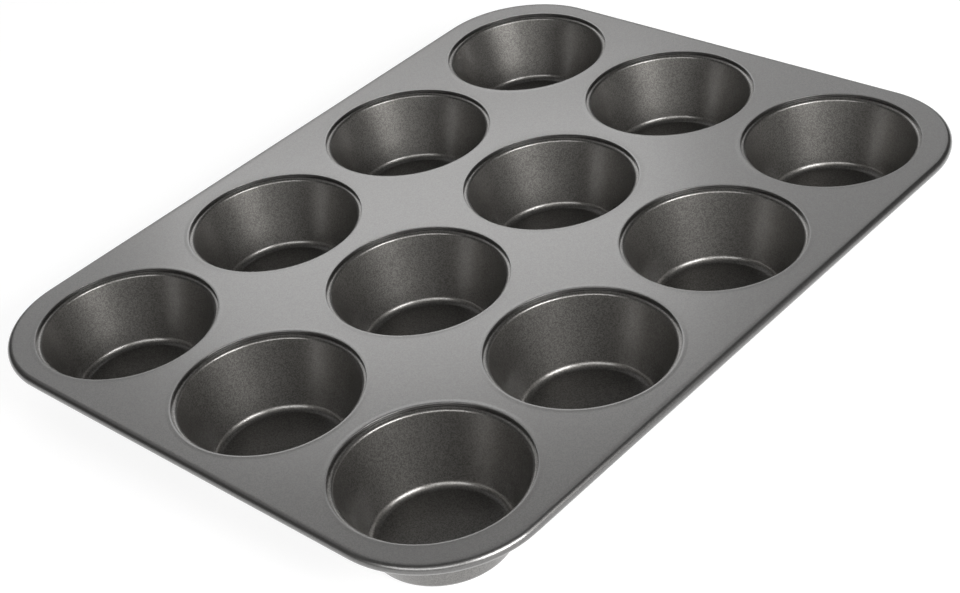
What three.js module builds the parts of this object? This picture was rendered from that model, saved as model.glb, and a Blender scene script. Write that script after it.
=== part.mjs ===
// A twelve-cup muffin pan in coated sheet steel: a punched deck whose edge is rolled round a wire,
// and twelve drawn cups, each lock-seamed into a collar of the deck.
// Millimetres, +Z up, the cups' undersides at z = 0 and the middle of the cup grid at x = y = 0.

import * as THREE from "three";
import { LoftGeometry } from "three/addons/geometries/LoftGeometry.js";
import { mergeGeometries, mergeVertices } from "three/addons/utils/BufferGeometryUtils.js";

// Sheet and seams
const sheet = 0.4; // thickness of the deck's and the cups' steel
const seamClearance = 0.2; // between one folded layer of a seam and the next
const seamWidth = 1.1; // how far a collar's foot reaches out under the deck

// Cups
const cupDepth = 31; // from the deck's top to the cup's floor
const mouthRadius = 36; // inner edge of the ledge at the cup's mouth
const ledgeWidth = 1.8; // from the mouth to the hole in the deck
const wallDraft = 17.2; // slope of the cup's wall, degrees from upright
const floorBend = 2.8; // inside radius between floor and wall
const mouthBend = 1.1; // inside radius of the bend from wall to ledge

// Deck
const rowNames = ["front", "middle", "back"]; // rows of cups, from -Y to +Y
const cupsPerRow = 4;
const webWidth = 9.4; // deck left between neighbouring holes
const endLand = 5.8; // flat deck between the end holes and the rim, along X
const sideLand = 7.8; // flat deck between the side holes and the rim, along Y
const holeEdgeBend = 0.2; // inside radius where the deck turns down into a collar

// Rim
const cornerRadius = 46; // of the pan's outline at its four corners
const wireRadius = 1.5;
const curlAngle = 280; // how far the deck's edge wraps round the wire, degrees

// Facets
const roundSteps = 24; // round a cup or a hole
const cornerSteps = 6; // round a quarter turn of the rim
const curlSteps = 10; // round the rolled edge
const wireSteps = 8; // round the wire
const floorBendSteps = 2;
const mouthBendSteps = 2;

// Heights of the four layers of a seam, from the top: deck, cup's lip, collar's foot, cup's flange
const panHeight = cupDepth + sheet;
const layerStep = sheet + seamClearance;
const lipUnderside = panHeight - layerStep - sheet;
const footTop = panHeight - 2 * layerStep;
const footUnderside = footTop - sheet;
const flangeTop = panHeight - 3 * layerStep;

// Radii of the seam, measured from the axis of a cup
const holeRadius = mouthRadius + ledgeWidth;
const neckRadius = holeRadius + sheet;
const footRadius = neckRadius + seamWidth;
const flangeRadius = footRadius + seamClearance;
const lipRadius = neckRadius + seamClearance;

// Layout of the grid and of the rim
const cupPitch = 2 * holeRadius + webWidth;
const curlInside = wireRadius + seamClearance;
const curlOutside = curlInside + sheet;
const wireHeight = panHeight - curlOutside;
const gridHalfLength = ((cupsPerRow - 1) * cupPitch) / 2;
const gridHalfWidth = ((rowNames.length - 1) * cupPitch) / 2;
const wireHalfLength = gridHalfLength + holeRadius + endLand + curlOutside;
const wireHalfWidth = gridHalfWidth + holeRadius + sideLand + curlOutside;
const wireCornerRadius = cornerRadius - curlOutside;

const point = (x, y) => new THREE.Vector2(x, y);
const radians = THREE.MathUtils.degToRad;

// Rounds a corner between its two neighbours: an arc of the given radius, as points
function roundedCorner(before, corner, after, radius, steps) {
  const inward = corner.clone().sub(before).normalize();
  const outward = after.clone().sub(corner).normalize();
  const turn = Math.atan2(inward.cross(outward), inward.dot(outward));
  const setback = radius * Math.tan(Math.abs(turn) / 2);
  const start = corner.clone().addScaledVector(inward, -setback);
  const side = Math.sign(turn);
  const centre = start.clone().add(point(-inward.y, inward.x).multiplyScalar(side * radius));
  const arc = [];
  for (let step = 0; step <= steps; step += 1) {
    arc.push(start.clone().rotateAround(centre, (turn * step) / steps));
  }
  return arc;
}

// The other face of a sheet: each point moved square to the line, to its left if distance is positive
function offsetLine(line, distance) {
  return line.map((here, index) => {
    const before = line[Math.max(index - 1, 0)];
    const after = line[Math.min(index + 1, line.length - 1)];
    const arriving = index > 0 ? here.clone().sub(before).normalize() : after.clone().sub(here).normalize();
    const leaving = index < line.length - 1 ? after.clone().sub(here).normalize() : arriving;
    const normal = point(-arriving.y - leaving.y, arriving.x + leaving.x).normalize();
    const mitre = distance / normal.dot(point(-arriving.y, arriving.x));
    return here.clone().addScaledVector(normal, mitre);
  });
}

// Turns a profile of (radius, height) points round the Z axis
function revolved(profile) {
  return new THREE.LatheGeometry(profile, roundSteps).rotateX(Math.PI / 2);
}

// Joins surfaces that share their edges into one skin
function welded(surfaces) {
  for (const surface of surfaces) {
    surface.deleteAttribute("normal");
    surface.deleteAttribute("uv");
  }
  const skin = mergeVertices(mergeGeometries(surfaces));
  skin.computeVertexNormals();
  return skin;
}

function facingDown(surface) {
  surface.index.array.reverse();
  return surface;
}

// A drawn cup: floor, wall, ledge, and the flange that folds up and in over the collar's foot
function cupGeometry() {
  const axis = point(0, sheet);
  const mouth = point(mouthRadius, flangeTop);
  const wallRun = (flangeTop - sheet) * Math.tan(radians(wallDraft));
  const floorCorner = point(mouthRadius - wallRun, sheet);
  const flangeCorner = point(flangeRadius, flangeTop);
  const insideFace = [
    axis,
    ...roundedCorner(axis, floorCorner, mouth, floorBend, floorBendSteps),
    ...roundedCorner(floorCorner, mouth, flangeCorner, mouthBend + sheet, mouthBendSteps),
    flangeCorner,
    point(flangeRadius, lipUnderside),
    point(lipRadius, lipUnderside),
  ];
  const outsideFace = offsetLine(insideFace, -sheet);
  return welded([revolved([...outsideFace, ...insideFace.reverse()])]);
}

// The skin of one collar: over the hole's edge, down the neck, out along the foot and back
function collarSurface() {
  const edgeBend = holeEdgeBend + sheet;
  return revolved([
    point(holeRadius + edgeBend, panHeight),
    point(holeRadius, panHeight - edgeBend),
    point(holeRadius, footUnderside),
    point(footRadius, footUnderside),
    point(footRadius, footTop),
    point(neckRadius, footTop),
    point(neckRadius, panHeight - edgeBend),
    point(holeRadius + edgeBend, panHeight - sheet),
  ]);
}

// A loop round the rim: a rounded rectangle, a given way out from the wire's line and up from it
function rimLoop(outward, up) {
  const reach = wireCornerRadius + outward;
  const loop = [];
  for (let corner = 0; corner < 4; corner += 1) {
    const sideX = corner === 0 || corner === 3 ? 1 : -1;
    const sideY = corner < 2 ? 1 : -1;
    for (let step = 0; step <= cornerSteps; step += 1) {
      const angle = radians(90 * (corner + step / cornerSteps));
      const x = sideX * (wireHalfLength - wireCornerRadius) + reach * Math.cos(angle);
      const y = sideY * (wireHalfWidth - wireCornerRadius) + reach * Math.sin(angle);
      loop.push(new THREE.Vector3(x, y, wireHeight + up));
    }
  }
  return loop;
}

// Sweeps a section of (outward, up) points once round the rim, with its skin facing out
function sweptRound(section) {
  const loops = section.map((place) => rimLoop(place.x, place.y));
  return new LoftGeometry(loops.reverse());
}

// Points on an arc round the wire's centre, from the top over the outside
function rimArc(radius, sweep, steps) {
  const arc = [];
  for (let step = 0; step <= steps; step += 1) {
    const angle = radians(90 - (sweep * step) / steps);
    arc.push(point(radius * Math.cos(angle), radius * Math.sin(angle)));
  }
  return arc;
}

// The rolled edge: the sheet's outer face round the wire, and its inner face back again
function curlSurface() {
  const outerFace = rimArc(curlOutside, curlAngle, curlSteps);
  const innerFace = rimArc(curlInside, curlAngle, curlSteps);
  return sweptRound([...outerFace, ...innerFace.reverse()]);
}

function wireGeometry() {
  return welded([sweptRound(rimArc(wireRadius, 360, wireSteps))]);
}

const cupCentres = rowNames.flatMap((rowName, row) =>
  Array.from({ length: cupsPerRow }, (unused, column) => ({
    name: `cup_${rowName}_${column + 1}`,
    x: column * cupPitch - gridHalfLength,
    y: row * cupPitch - gridHalfWidth,
  })),
);

// The deck: two flat faces with twelve holes, the collars' skins in the holes and the curl outside
function deckGeometry() {
  const collars = cupCentres.map((cup) => collarSurface().translate(cup.x, cup.y, 0));
  const outline = rimLoop(0, curlOutside).map((corner) => point(corner.x, corner.y));
  const flat = new THREE.Shape(outline);
  for (const collar of collars) {
    const position = collar.attributes.position;
    const profileLength = position.count / (roundSteps + 1);
    const ring = Array.from({ length: roundSteps }, (unused, step) =>
      point(position.getX(step * profileLength), position.getY(step * profileLength)),
    );
    flat.holes.push(new THREE.Path(ring));
  }
  const topFace = new THREE.ShapeGeometry(flat).translate(0, 0, panHeight);
  const underFace = facingDown(new THREE.ShapeGeometry(flat)).translate(0, 0, panHeight - sheet);
  return welded([topFace, underFace, curlSurface(), ...collars]);
}

const deckCoat = new THREE.MeshStandardMaterial({ color: 0x8f8d89, roughness: 0.42, metalness: 0.6 });
const cupCoat = new THREE.MeshStandardMaterial({ color: 0x6f6c68, roughness: 0.45, metalness: 0.6 });
const wireSteel = new THREE.MeshStandardMaterial({ color: 0xa3a3a1, roughness: 0.35, metalness: 1 });

function namedMesh(name, geometry, material) {
  const mesh = new THREE.Mesh(geometry, material);
  mesh.name = name;
  return mesh;
}

const pan = new THREE.Group();
pan.add(namedMesh("deck_plate", deckGeometry(), deckCoat));
pan.add(namedMesh("rim_wire", wireGeometry(), wireSteel));
for (const cup of cupCentres) {
  const mesh = namedMesh(cup.name, cupGeometry(), cupCoat);
  mesh.position.set(cup.x, cup.y, 0);
  pan.add(mesh);
}

export default pan;
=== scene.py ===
# A twelve-cup muffin pan in satin coated steel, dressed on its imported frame.
# Metres, +Z up, the undersides of the cups at z = 0 and the middle of the cup grid at x = y = 0.

from math import cos, pi, radians, sin, tan

import bmesh
import bpy
from mathutils import Matrix, Vector


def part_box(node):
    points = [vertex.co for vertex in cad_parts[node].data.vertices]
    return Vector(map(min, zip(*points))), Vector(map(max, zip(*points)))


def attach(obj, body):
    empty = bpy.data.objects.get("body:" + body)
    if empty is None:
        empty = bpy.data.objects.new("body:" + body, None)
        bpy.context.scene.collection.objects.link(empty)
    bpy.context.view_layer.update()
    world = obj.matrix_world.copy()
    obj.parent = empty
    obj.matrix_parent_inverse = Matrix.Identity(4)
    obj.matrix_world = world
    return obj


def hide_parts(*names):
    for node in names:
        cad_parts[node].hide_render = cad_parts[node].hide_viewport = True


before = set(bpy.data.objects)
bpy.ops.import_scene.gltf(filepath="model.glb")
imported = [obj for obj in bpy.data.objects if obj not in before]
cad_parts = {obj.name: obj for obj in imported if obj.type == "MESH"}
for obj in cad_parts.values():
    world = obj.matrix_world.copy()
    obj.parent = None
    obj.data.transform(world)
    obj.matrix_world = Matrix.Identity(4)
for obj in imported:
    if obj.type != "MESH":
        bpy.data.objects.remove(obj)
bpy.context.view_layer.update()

MM = 0.001

# Sheet steel and its folds
SHEET = 0.4 * MM
SEAM_GAP = 0.1 * MM  # between one folded layer of a seam and the next
FOLD_BEND = 0.25 * MM  # where a cup's flange folds up and in over the collar's foot
CUT_EDGE_BEND = 0.06 * MM  # softens the sheet's cut edges
CUT_EDGE_ANGLE = radians(70)  # an edge sharper than this counts as cut

# Cups
MOUTH_RADIUS = 36.0 * MM  # inner edge of the ledge at the cup's mouth
MOUTH_BEND = 1.5 * MM  # from wall to ledge
LEDGE_WIDTH = 1.8 * MM  # from the mouth to the hole in the deck
WALL_DRAFT = radians(17.2)  # slope of the wall from upright
FLOOR_BEND = 3.3 * MM  # from floor to wall

# Collars of the deck, and the low ring that the seam presses up round each hole
HOLE_EDGE_BEND = 0.25 * MM
FOOT_BEND = 0.2 * MM
FOOT_WIDTH = 0.8 * MM  # how far a collar's foot reaches out under the deck
RING_RISE = 0.035 * MM  # height of the ring's crest over the deck
RING_CREST = 0.8 * MM  # from the hole's edge to the crest
RING_WIDTH = 1.4 * MM  # from the crest to the flat deck
RING_SLOPE = radians(3)  # from the crest down to the hole's edge
RING_BEND = 4 * MM

# Rim: the deck rolls over a shallow shoulder into the curl
CORNER_RADIUS = 46 * MM
RIM_DROP = 0.06 * MM  # how far the top of the curl's circle lies below the deck
END_SHOULDER = radians(11)  # slope where the curl begins, at the pan's ends
SIDE_SHOULDER = radians(3.5)  # the same along its sides
CURL_ANGLE = radians(280)  # how far the deck's edge wraps round the wire

# Facets, and how close points are before they count as one
ROUND_STEPS = 96
BEND_STEPS = 4
FLOOR_BEND_STEPS = 10
SHOULDER_STEPS = 6
CURL_STEPS = 30
WIRE_STEPS = 16
CUT_EDGE_STEPS = 2
SAME_POINT = 0.001 * MM
CELL_JOIN = 0.01 * MM

# Finishes: colours from dark to light, and the part of a pattern over which they change
FLAKE_SIZE = 0.4 * MM
FLAKE_SPREAD = (0.2, 0.8)
SKIN_ROUGHNESS = 0.2
DECK_DARK = (0.14, 0.137, 0.134)
DECK_LIGHT = (0.17, 0.167, 0.163)
DECK_ROUGHNESS = 0.4
# The cups take the deck's coat painted darker, a painted shade for the inside of the cups; the wider
# spread from dark to light is the coat's own flake grain
CUP_SHADED_DARK = (0.094, 0.0895, 0.084)
CUP_SHADED_LIGHT = (0.168, 0.1615, 0.152)
CUP_ROUGHNESS = 0.43
WIRE_DARK = (0.52, 0.52, 0.51)
WIRE_LIGHT = (0.6, 0.6, 0.59)
WIRE_MOTTLE = 2 * MM
WIRE_SMOOTH = (0.25, 0.25, 0.25)
WIRE_ROUGH = (0.35, 0.35, 0.35)
WIRE_GRAIN = 0.4 * MM
WIRE_SPREAD = (0.3, 0.7)

# Studio, in metres: white paper as far as a pale horizon, and a dark room above it
FLOOR_REACH = 12
PAPER_GREY = 0.3  # under the lamps, where it takes the pan's shadow
PAPER_GLOW = 0.82  # added for the camera and in the metal
HORIZON_GREY = 1.0
ROOM_GREY = 0.075
HORIZON_FADE = (0.02, 0.12)

# Soft panels: azimuth and elevation in degrees, distance, width and height in metres,
# and how bright the face is, 1 being white
SOFT_PANELS = {
    "back panel": (43, 30, 1.2, 1.35, 0.5, 1.0),
    "back softbox": (49, 34.5, 1.2, 0.54, 0.28, 1.95),
    "front softbox": (-98, 29, 0.75, 0.46, 0.28, 16.5),
    "left panel": (-156, 32, 1.2, 1.0, 0.38, 5.5),
    "fill panel": (95, 50, 1.5, 1.0, 0.6, 0.4),
    "top panel": (48, 60, 1.5, 0.8, 0.6, 0.5),
}

# Camera, matched to the photograph
IMAGE_WIDTH = 960
IMAGE_HEIGHT = 593
FOCAL_PIXELS = 1909.3
OPTICAL_CENTRE = (424.3, 288.0)
SENSOR_WIDTH = 36
CLIP_START = 0.01
CAMERA_AIM = Vector((-45.78, -6.57, 0)) * MM
CAMERA_DISTANCE = 767.2 * MM
CAMERA_AZIMUTH = radians(-41.65)
CAMERA_ELEVATION = radians(34.41)
CAMERA_ROLL = radians(-10.23)

# Sizes read from the frame
# A seam has four layers, from the top: deck, cup's lip, collar's foot, cup's flange
_, deck_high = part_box("deck_plate")
wire_low, wire_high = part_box("rim_wire")
cup_low, cup_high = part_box("cup_front_1")
cup_nodes = sorted(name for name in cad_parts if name.startswith("cup_"))
hole_radius = MOUTH_RADIUS + LEDGE_WIDTH
neck_radius = hole_radius + SHEET
flange_radius = (cup_high.x - cup_low.x) / 2 - SHEET
layer_step = SHEET + SEAM_GAP
pan_top = deck_high.z
deck_level = pan_top - RING_RISE
flange_top = pan_top - 3 * layer_step
wire_radius = (wire_high.z - wire_low.z) / 2
curl_radius = pan_top - (wire_high.z + wire_low.z) / 2
curl_height = deck_level - RIM_DROP - curl_radius


def centre_of(node):
    """Where a cup's upright axis stands."""
    low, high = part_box(node)
    middle = (low + high) / 2
    return Vector((middle.x, middle.y, 0))


cup_centres = {node: centre_of(node) for node in cup_nodes}
grid_reach = Vector((
    max(centre.x for centre in cup_centres.values()),
    max(centre.y for centre in cup_centres.values()),
    0,
))
half_pitch = (centre_of("cup_front_2").x - centre_of("cup_front_1").x) / 2
wire_reach = Vector((wire_high.x - wire_radius, wire_high.y - wire_radius, 0))
wire_bend = CORNER_RADIUS - curl_radius
rim_core = wire_reach - Vector((wire_bend, wire_bend, 0))


# Modelling steps

def round_corner(bm, corner, radius, steps=BEND_STEPS):
    """Rounds one corner of a profile that is still a chain of edges."""
    arms = [edge.other_vert(corner).co - corner.co for edge in corner.link_edges]
    turn = pi - arms[0].angle(arms[1])
    bmesh.ops.bevel(
        bm, geom=[corner], offset=radius * tan(turn / 2), offset_type="OFFSET", affect="VERTICES",
        segments=steps, profile=0.5, material=-1,
    )


def profile_chain(bm, centre, corners):
    """A chain of edges through (radius, height) corners, standing beside the axis at centre."""
    chain = [bm.verts.new((centre.x + radius, centre.y, height)) for radius, height in corners]
    for lower, upper in zip(chain, chain[1:]):
        bm.edges.new((lower, upper))
    return chain


def turn_profile(bm, centre, geometry):
    """Spins a profile once round the upright axis at centre."""
    bmesh.ops.spin(
        bm, geom=geometry, cent=centre, axis=(0, 0, 1), dvec=(0, 0, 0),
        angle=2 * pi, steps=ROUND_STEPS, use_merge=True, use_duplicate=False,
    )


def face_upwards(bm, level):
    """Turns a sheet's faces so that those that lie flat at a level look up."""
    bmesh.ops.recalc_face_normals(bm, faces=bm.faces)
    at_level = [face for face in bm.faces if abs(face.calc_center_median().z - level) < SAME_POINT]
    flattest = max(at_level, key=lambda face: abs(face.normal.z))
    if flattest.normal.z < 0:
        bmesh.ops.reverse_faces(bm, faces=bm.faces)


def finish_piece(name, bm, material, node, sheet_metal=True):
    """Makes the piece's object, gives it its thickness and soft cut edges, and fixes it to the frame."""
    mesh = bpy.data.meshes.new(name)
    bm.to_mesh(mesh)
    bm.free()
    mesh.shade_smooth()
    mesh.materials.append(material)
    piece = bpy.data.objects.new(name, mesh)
    bpy.context.scene.collection.objects.link(piece)
    if sheet_metal:
        wall = piece.modifiers.new("sheet thickness", "SOLIDIFY")
        wall.thickness = SHEET
        wall.offset = -1
        wall.use_even_offset = True
        edge = piece.modifiers.new("cut edges", "BEVEL")
        edge.limit_method = "ANGLE"
        edge.angle_limit = CUT_EDGE_ANGLE
        edge.width = CUT_EDGE_BEND
        edge.segments = CUT_EDGE_STEPS
    flats = piece.modifiers.new("flat faces", "WEIGHTED_NORMAL")
    flats.keep_sharp = True
    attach(piece, "root")
    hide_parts(node)


# Deck

def rim_direction(point):
    """The nearest point of the rim's inner core, and the level direction from it out over the rim."""
    nearest = Vector((
        min(max(point.x, -rim_core.x), rim_core.x),
        min(max(point.y, -rim_core.y), rim_core.y),
        point.z,
    ))
    return nearest, (point - nearest).normalized()


def shoulder_slope(outward):
    """How steeply the deck leans into the curl: sharply at the ends, gently along the sides."""
    return END_SHOULDER * outward.x ** 2 + SIDE_SHOULDER * outward.y ** 2


def shoulder_size(slope):
    """Width and drop of a shoulder that curves evenly from level to the slope where the curl begins."""
    drop = deck_level - curl_height - curl_radius * cos(slope)
    return 2 * drop / tan(slope), drop


def shoulder_start(outward):
    """How far the shoulder's inner edge lies from the wire's line, negative inwards."""
    slope = shoulder_slope(outward)
    width, _ = shoulder_size(slope)
    return curl_radius * sin(slope) - width


def cell_edge(centre, direction):
    """Where a cup's share of the flat deck ends: halfway to the next cup, or at the rim's shoulder."""
    side = Vector((1 if direction.x > 0 else -1, 1 if direction.y > 0 else -1, 0))
    at_end = abs(centre.x + side.x * half_pitch) > grid_reach.x
    at_side = abs(centre.y + side.y * half_pitch) > grid_reach.y
    if at_end and at_side:
        core = Vector((side.x * rim_core.x, side.y * rim_core.y, 0))
        return core + direction * (wire_bend + shoulder_start(direction))
    end_reach = wire_reach.x - grid_reach.x + shoulder_start(Vector((1, 0, 0)))
    side_reach = wire_reach.y - grid_reach.y + shoulder_start(Vector((0, 1, 0)))
    reach = Vector((end_reach if at_end else half_pitch, side_reach if at_side else half_pitch, 0))
    longest = max(abs(direction.x), abs(direction.y))
    return centre + Vector((reach.x * direction.x, reach.y * direction.y, 0)) / longest


def extruded(bm, edges):
    """Extrudes a loop of edges and gives back the new edges and their vertices."""
    grown = bmesh.ops.extrude_edge_only(bm, edges=edges)["geom"]
    new_vertices = [item for item in grown if isinstance(item, bmesh.types.BMVert)]
    new_edges = [item for item in grown if isinstance(item, bmesh.types.BMEdge) and item.is_boundary]
    return new_edges, new_vertices


def add_deck_cell(bm, centre):
    """One hole of the deck with its collar and pressed ring, and the flat deck as far as the next cell."""
    crest_radius = hole_radius + RING_CREST
    ring_foot = crest_radius + RING_WIDTH
    hole_edge = pan_top - RING_CREST * tan(RING_SLOPE)
    foot_underside = pan_top - 2 * layer_step - SHEET
    cell = bmesh.new()
    chain = profile_chain(cell, centre, [
        (neck_radius + FOOT_WIDTH, foot_underside),
        (hole_radius, foot_underside),
        (hole_radius, hole_edge),
        (crest_radius, pan_top),
        (ring_foot, deck_level),
        (half_pitch - CUT_EDGE_BEND, deck_level),
    ])
    for corner, bend in zip(chain[1:-1], (FOOT_BEND, HOLE_EDGE_BEND, RING_BEND, RING_BEND)):
        round_corner(cell, corner, bend)
    turn_profile(cell, centre, cell.verts[:] + cell.edges[:])
    bmesh.ops.remove_doubles(cell, verts=cell.verts, dist=SAME_POINT)
    above_foot = foot_underside + SHEET
    border = [edge for edge in cell.edges if edge.is_boundary and edge.verts[0].co.z > above_foot]
    _, border_vertices = extruded(cell, border)
    for vertex in border_vertices:
        direction = (vertex.co - centre).to_2d().to_3d().normalized()
        vertex.co = cell_edge(centre, direction) + Vector((0, 0, deck_level))
    part = bpy.data.meshes.new("deck cell")
    cell.to_mesh(part)
    cell.free()
    bm.from_mesh(part)
    bpy.data.meshes.remove(part)


def roll_rim(bm):
    """Extrudes the deck's border over the shoulder and round the curl."""
    edges = [edge for edge in bm.edges if edge.is_boundary and edge.verts[0].co.z > deck_level - SHEET]
    for step in range(1, SHOULDER_STEPS + CURL_STEPS + 1):
        edges, vertices = extruded(bm, edges)
        for vertex in vertices:
            core, outward = rim_direction(vertex.co)
            slope = shoulder_slope(outward)
            if step <= SHOULDER_STEPS:
                share = step / SHOULDER_STEPS
                width, drop = shoulder_size(slope)
                out = shoulder_start(outward) + width * share
                height = deck_level - drop * share ** 2
            else:
                angle = slope + (CURL_ANGLE - slope) * (step - SHOULDER_STEPS) / CURL_STEPS
                out = curl_radius * sin(angle)
                height = curl_height + curl_radius * cos(angle)
            vertex.co = core + outward * (wire_bend + out)
            vertex.co.z = height


def punched_deck(material):
    """The top sheet: twelve cells side by side, with the rolled rim round them."""
    bm = bmesh.new()
    for centre in cup_centres.values():
        add_deck_cell(bm, centre)
    bmesh.ops.remove_doubles(bm, verts=bm.verts, dist=CELL_JOIN)
    face_upwards(bm, deck_level)
    roll_rim(bm)
    finish_piece("punched_deck", bm, material, "deck_plate")


# Cups and wire

def drawn_cup(node, material):
    """One cup: floor, wall, ledge, and the flange that folds up and in over the collar's foot."""
    centre = cup_centres[node]
    wall_run = (flange_top - SHEET) * tan(WALL_DRAFT)
    lip_underside = pan_top - layer_step - SHEET
    bm = bmesh.new()
    chain = profile_chain(bm, centre, [
        (0, SHEET),
        (MOUTH_RADIUS - wall_run, SHEET),
        (MOUTH_RADIUS, flange_top),
        (flange_radius, flange_top),
        (flange_radius, lip_underside),
        (neck_radius + SEAM_GAP, lip_underside),
    ])
    round_corner(bm, chain[1], FLOOR_BEND, FLOOR_BEND_STEPS)
    for corner, bend in zip(chain[2:5], (MOUTH_BEND, FOLD_BEND, FOLD_BEND)):
        round_corner(bm, corner, bend)
    turn_profile(bm, centre, bm.verts[:] + bm.edges[:])
    bmesh.ops.remove_doubles(bm, verts=bm.verts, dist=SAME_POINT)
    face_upwards(bm, SHEET)
    finish_piece(node.replace("cup", "drawn_cup"), bm, material, node)


def edge_wire(material):
    """The steel wire inside the curl, one closed ring."""
    bm = bmesh.new()
    half_step = Matrix.Rotation(pi / ROUND_STEPS, 4, "Z")
    loop = bmesh.ops.create_circle(bm, segments=ROUND_STEPS, radius=1, matrix=half_step)["verts"]
    for vertex in loop:
        outward = vertex.co.normalized()
        core_x = rim_core.x if outward.x > 0 else -rim_core.x
        core_y = rim_core.y if outward.y > 0 else -rim_core.y
        core = Vector((core_x, core_y, 0))
        vertex.co = core + outward * wire_bend
        vertex.co.z = curl_height + wire_radius
    first = bm.edges[:]
    edges = first
    for step in range(1, WIRE_STEPS):
        angle = 2 * pi * step / WIRE_STEPS
        edges, vertices = extruded(bm, edges)
        for vertex in vertices:
            core, outward = rim_direction(vertex.co)
            vertex.co = core + outward * (wire_bend + wire_radius * sin(angle))
            vertex.co.z = curl_height + wire_radius * cos(angle)
    bmesh.ops.bridge_loops(bm, edges=first + edges)
    bmesh.ops.recalc_face_normals(bm, faces=bm.faces)
    finish_piece("edge_wire", bm, material, "rim_wire", sheet_metal=False)


# Finishes

def new_finish(name):
    """A material with its shader and object coordinates ready."""
    material = bpy.data.materials.new(name)
    material.use_nodes = True
    nodes = material.node_tree.nodes
    coordinates = nodes.new("ShaderNodeTexCoord")
    return material, nodes["Principled BSDF"], coordinates.outputs["Object"]


def noise(material, coordinates, size):
    """A noise pattern whose spots are about the given size across."""
    texture = material.node_tree.nodes.new("ShaderNodeTexNoise")
    texture.inputs["Scale"].default_value = 1 / size
    material.node_tree.links.new(coordinates, texture.inputs["Vector"])
    return texture.outputs["Fac"]


def ramp(material, factor, dark, light, spread):
    """Runs from a dark colour to a light one over the given part of a pattern."""
    node = material.node_tree.nodes.new("ShaderNodeValToRGB")
    for element, place, colour in zip(node.color_ramp.elements, spread, (dark, light)):
        element.position = place
        element.color = (*colour, 1)
    material.node_tree.links.new(factor, node.inputs["Fac"])
    return node.outputs["Color"]


def flake_coat(name, dark, light, roughness):
    """Satin coat: a clear skin over metal flakes, some darker than others."""
    material, shader, coordinates = new_finish(name)
    link = material.node_tree.links.new
    flakes = material.node_tree.nodes.new("ShaderNodeTexVoronoi")
    flakes.inputs["Scale"].default_value = 1 / FLAKE_SIZE
    link(coordinates, flakes.inputs["Vector"])
    tone = ramp(material, flakes.outputs["Color"], dark, light, FLAKE_SPREAD)
    link(tone, shader.inputs["Base Color"])
    shader.inputs["Metallic"].default_value = 1
    shader.inputs["Roughness"].default_value = roughness
    shader.inputs["Coat Weight"].default_value = 1
    shader.inputs["Coat Roughness"].default_value = SKIN_ROUGHNESS
    return material


def drawn_wire():
    """Bright drawn steel, slightly mottled."""
    material, shader, coordinates = new_finish("drawn wire")
    link = material.node_tree.links.new
    mottle = noise(material, coordinates, WIRE_MOTTLE)
    link(ramp(material, mottle, WIRE_DARK, WIRE_LIGHT, WIRE_SPREAD), shader.inputs["Base Color"])
    shader.inputs["Metallic"].default_value = 1
    grain = noise(material, coordinates, WIRE_GRAIN)
    link(ramp(material, grain, WIRE_SMOOTH, WIRE_ROUGH, WIRE_SPREAD), shader.inputs["Roughness"])
    return material


# Studio

def sky_direction(azimuth, elevation):
    """The direction from the pan to a lamp or to the camera."""
    return Vector((cos(azimuth) * cos(elevation), sin(azimuth) * cos(elevation), sin(elevation)))


def soft_panel(name, azimuth, elevation, distance, width, height, radiance):
    """A lit panel that looks at the pan and is not seen by the camera."""
    lamp = bpy.data.lights.new(name, "AREA")
    lamp.shape = "RECTANGLE"
    lamp.size = width
    lamp.size_y = height
    lamp.energy = radiance * pi * width * height
    panel = bpy.data.objects.new(name, lamp)
    towards = sky_direction(radians(azimuth), radians(elevation))
    panel.location = Vector((0, 0, pan_top)) + towards * distance
    panel.rotation_euler = towards.to_track_quat("Z", "Y").to_euler()
    panel.visible_camera = False
    bpy.context.scene.collection.objects.link(panel)


def studio_floor():
    """White paper: it glows to the camera and in the metal, and the pan's shadow still falls on it."""
    bm = bmesh.new()
    bmesh.ops.create_grid(bm, x_segments=1, y_segments=1, size=FLOOR_REACH)
    mesh = bpy.data.meshes.new("studio_floor")
    bm.to_mesh(mesh)
    bm.free()
    material = bpy.data.materials.new("studio paper")
    material.use_nodes = True
    nodes = material.node_tree.nodes
    link = material.node_tree.links.new
    nodes.remove(nodes["Principled BSDF"])
    paper = nodes.new("ShaderNodeBsdfDiffuse")
    paper.inputs["Color"].default_value = (PAPER_GREY, PAPER_GREY, PAPER_GREY, 1)
    glow = nodes.new("ShaderNodeEmission")
    glow.inputs["Strength"].default_value = PAPER_GLOW
    bright = nodes.new("ShaderNodeAddShader")
    link(paper.outputs["BSDF"], bright.inputs[0])
    link(glow.outputs["Emission"], bright.inputs[1])
    path = nodes.new("ShaderNodeLightPath")
    seen = path.outputs["Is Camera Ray"]
    for ray in ("Is Glossy Ray", "Is Transmission Ray"):
        either = nodes.new("ShaderNodeMath")
        either.operation = "MAXIMUM"
        link(seen, either.inputs[0])
        link(path.outputs[ray], either.inputs[1])
        seen = either.outputs["Value"]
    mix = nodes.new("ShaderNodeMixShader")
    link(seen, mix.inputs["Fac"])
    link(paper.outputs["BSDF"], mix.inputs[1])
    link(bright.outputs["Shader"], mix.inputs[2])
    link(mix.outputs["Shader"], nodes["Material Output"].inputs["Surface"])
    mesh.materials.append(material)
    floor = bpy.data.objects.new("studio_floor", mesh)
    bpy.context.scene.collection.objects.link(floor)


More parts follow.
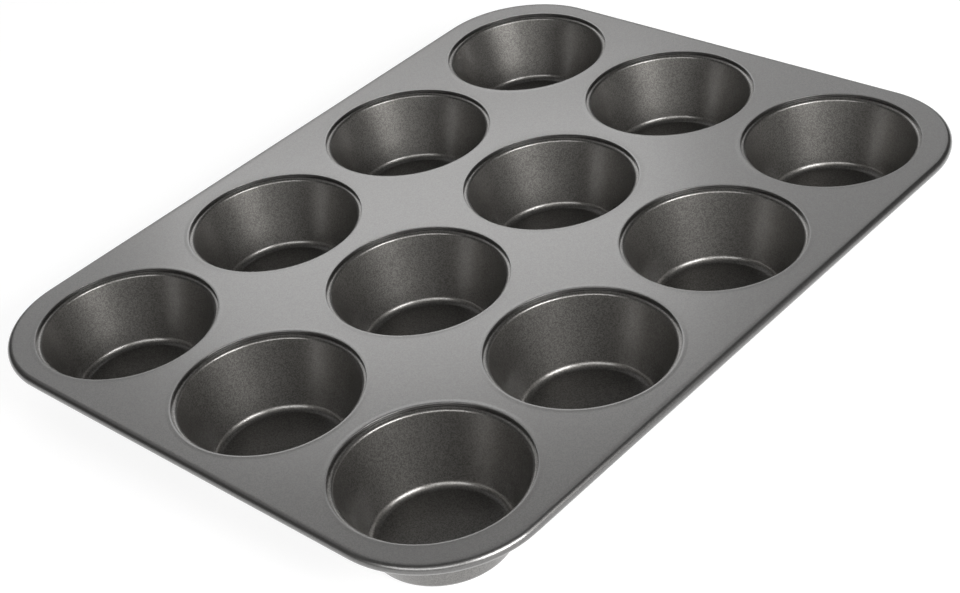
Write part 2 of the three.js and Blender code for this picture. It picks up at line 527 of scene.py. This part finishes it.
def studio_world():
    """A dark room over a pale horizon, where the paper ends."""
    world = bpy.data.worlds.new("studio")
    bpy.context.scene.world = world
    world.use_nodes = True
    nodes = world.node_tree.nodes
    link = world.node_tree.links.new
    coordinates = nodes.new("ShaderNodeTexCoord")
    parts = nodes.new("ShaderNodeSeparateXYZ")
    link(coordinates.outputs["Generated"], parts.inputs["Vector"])
    fade = nodes.new("ShaderNodeValToRGB")
    for element, place, grey in zip(fade.color_ramp.elements, HORIZON_FADE, (HORIZON_GREY, ROOM_GREY)):
        element.position = place
        element.color = (grey, grey, grey, 1)
    link(parts.outputs["Z"], fade.inputs["Fac"])
    link(fade.outputs["Color"], nodes["Background"].inputs["Color"])


def photo_camera():
    """The camera at the photograph's place, with its framing."""
    camera = bpy.data.cameras.new("photo camera")
    camera.sensor_fit = "HORIZONTAL"
    camera.sensor_width = SENSOR_WIDTH
    camera.lens = FOCAL_PIXELS * SENSOR_WIDTH / IMAGE_WIDTH
    camera.shift_x = (IMAGE_WIDTH / 2 - OPTICAL_CENTRE[0]) / IMAGE_WIDTH
    camera.shift_y = (OPTICAL_CENTRE[1] - IMAGE_HEIGHT / 2) / IMAGE_WIDTH
    camera.clip_start = CLIP_START
    backward = sky_direction(CAMERA_AZIMUTH - pi / 2, CAMERA_ELEVATION)
    level_right = sky_direction(CAMERA_AZIMUTH, 0)
    level_up = backward.cross(level_right)
    right = level_right * cos(CAMERA_ROLL) + level_up * sin(CAMERA_ROLL)
    up = backward.cross(right)
    holder = bpy.data.objects.new("photo camera", camera)
    turned = Matrix((right, up, backward)).transposed().to_4x4()
    aim = CAMERA_AIM + Vector((0, 0, deck_level))
    holder.matrix_world = Matrix.Translation(aim + backward * CAMERA_DISTANCE) @ turned
    bpy.context.scene.collection.objects.link(holder)
    bpy.context.scene.camera = holder


deck_finish = flake_coat("deck coating", DECK_DARK, DECK_LIGHT, DECK_ROUGHNESS)
# The cups' coat is the deck's coat painted darker, as painted shade inside the cups
shaded_cup_finish = flake_coat("cup coating with painted shade", CUP_SHADED_DARK, CUP_SHADED_LIGHT, CUP_ROUGHNESS)
punched_deck(deck_finish)
edge_wire(drawn_wire())
for cup_node in cup_nodes:
    drawn_cup(cup_node, shaded_cup_finish)

studio_floor()
studio_world()
for panel_name, settings in SOFT_PANELS.items():
    soft_panel(panel_name, *settings)
photo_camera()
bpy.context.scene.view_settings.view_transform = "Standard"
